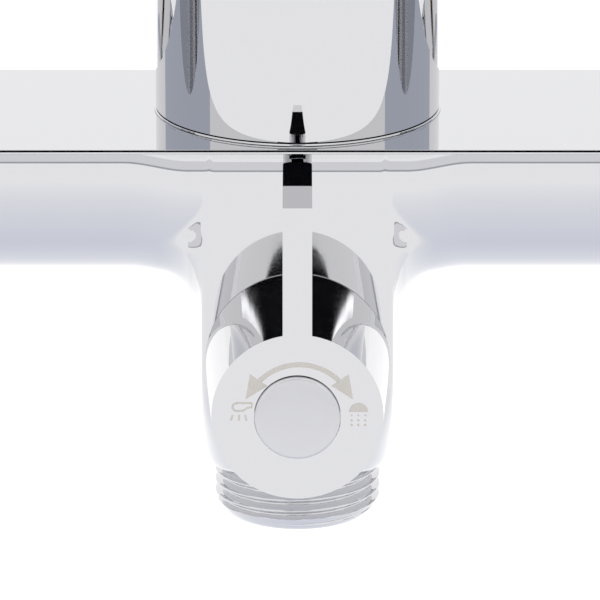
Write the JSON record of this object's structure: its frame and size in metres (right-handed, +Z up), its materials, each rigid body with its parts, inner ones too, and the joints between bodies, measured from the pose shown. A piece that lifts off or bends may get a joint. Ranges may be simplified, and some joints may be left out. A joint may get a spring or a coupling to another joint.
{
  "type": "rainfall shower column",
  "caption": "Wall-mounted shower column: thermostatic bar valve with a flat shelf, lever diverter over a threaded hose outlet, riser, sliding holder, swinging arm and round rain head.",
  "frame": {"origin": "on the wall plane, midway between the two water inlets, 15 mm below the shelf's top", "axes": "+Z up along the riser, +Y into the wall, +X to the right of a person who faces the column"},
  "size_m": [0.377, 0.545, 1.1002],
  "materials": {
    "chrome": "mirror-polished bright chrome plating on brass",
    "satin_chrome": "satin, finely brushed chrome",
    "brass": "machined brass",
    "steel": "turned stainless steel",
    "dark_plastic": "moulded engineering plastic",
    "white_plastic": "moulded engineering plastic",
    "rubber": "black sealing rubber",
    "silicone": "soft grey silicone",
    "ceramic": "lapped white ceramic",
    "red_plastic": "glossy red moulded plastic"
  },
  "bodies": {
    "column": {"valve_body": "chrome", "shelf_plate": "chrome", "outlet_nipple": "chrome", "left_union_nut": "chrome", "right_union_nut": "chrome", "left_wall_flange": "chrome", "right_wall_flange": "chrome", "riser_foot_ring": "chrome", "riser_sleeve": "chrome", "riser_pipe": "chrome", "bracket_clamp": "chrome", "bracket_post": "chrome", "bracket_rosette": "chrome", "diverter_cartridge_nut": "brass", "flow_cartridge_nut": "brass", "thermostat_nut": "brass", "left_connector": "brass", "right_connector": "brass", "riser_union_nut": "brass", "bracket_wall_plate": "steel", "bracket_left_screw": "steel", "bracket_right_screw": "steel", "diverter_cartridge": "dark_plastic", "flow_cartridge": "dark_plastic", "temperature_stop_ring": "dark_plastic", "thermostat_cartridge": "white_plastic", "left_check_valve": "white_plastic", "right_check_valve": "white_plastic", "left_filter_washer": "rubber", "right_filter_washer": "rubber", "riser_washer": "rubber", "diverter_fixed_disc": "ceramic", "flow_fixed_disc": "ceramic"},
    "diverter": {"diverter_moving_disc": "ceramic", "diverter_spindle": "brass", "diverter_knob": "chrome", "diverter_screw": "steel", "diverter_cap": "satin_chrome"},
    "flow_handle": {"flow_handle": "chrome", "flow_cap": "satin_chrome", "flow_spindle": "brass", "flow_moving_disc": "ceramic"},
    "temperature_handle": {"temperature_handle": "chrome", "temperature_cap": "satin_chrome", "temperature_spindle": "brass"},
    "thermostat_piston": {"thermostat_piston": "steel"},
    "safety_button": {"safety_button": "red_plastic"},
    "arm": {"overhead_arm": "chrome", "head_ball_stud": "chrome"},
    "head_seat": {"head_ball_seat": "dark_plastic"},
    "rain_head": {"head_ball_nut": "chrome", "rain_head_shell": "chrome", "rain_head_nozzle_mat": "silicone", "rain_head_face_plate": "satin_chrome"},
    "holder": {"holder_slider": "chrome", "holder_bush": "dark_plastic", "holder_pivot_pin": "steel"},
    "holder_knob": {"holder_lock_knob": "chrome"},
    "cradle": {"holder_cradle": "chrome"}
  },
  "joints": [
    {"name": "diverter_turn", "type": "hinge", "parent": "column", "child": "diverter", "pos_m": [0, -0.07, -0.0205], "axis": [0, -1, 0], "range_deg": [-45, 45]},
    {"name": "flow_turn", "type": "hinge", "parent": "column", "child": "flow_handle", "pos_m": [-0.15, -0.0715, 0.0114], "axis": [-1, 0, 0], "range_deg": [0, 90]},
    {"name": "temperature_turn", "type": "hinge", "parent": "column", "child": "temperature_handle", "pos_m": [0.15, -0.0715, 0.0114], "axis": [1, 0, 0], "range_deg": [-140, 60]},
    {"name": "thermostat_travel", "type": "slide", "parent": "column", "child": "thermostat_piston", "axis": [1, 0, 0], "range_m": [-0.0008, 0.00035]},
    {"name": "safety_button_press", "type": "slide", "parent": "temperature_handle", "child": "safety_button", "axis": [0, 0, -1], "range_m": [0, 0.002], "stiffness_N_per_m": 400, "springref_m": -0.0005},
    {"name": "arm_swing", "type": "hinge", "parent": "column", "child": "arm", "pos_m": [0, -0.07, 0.93], "axis": [0, 0, 1], "range_deg": [-60, 60]},
    {"name": "head_tilt", "type": "hinge", "parent": "arm", "child": "head_seat", "pos_m": [0, -0.435, 0.9613], "axis": [1, 0, 0], "range_deg": [-15, 15]},
    {"name": "head_spin", "type": "hinge", "parent": "head_seat", "child": "rain_head", "pos_m": [0, -0.435, 0.9613], "axis": [0, 0, 1], "continuous": true},
    {"name": "holder_slide", "type": "slide", "parent": "column", "child": "holder", "axis": [0, 0, 1], "range_m": [-0.4, 0.19]},
    {"name": "holder_lock_turn", "type": "hinge", "parent": "holder", "child": "holder_knob", "pos_m": [0, -0.07, 0.575], "axis": [1, 0, 0], "range_deg": [0, 180]},
    {"name": "cradle_tilt", "type": "hinge", "parent": "holder", "child": "cradle", "pos_m": [0, -0.101, 0.575], "axis": [1, 0, 0], "range_deg": [-30, 30]}
  ],
  "couplings": [
    {"joint": "thermostat_travel", "follows": "temperature_turn", "m_per_rad": 0.00031831}
  ]
}
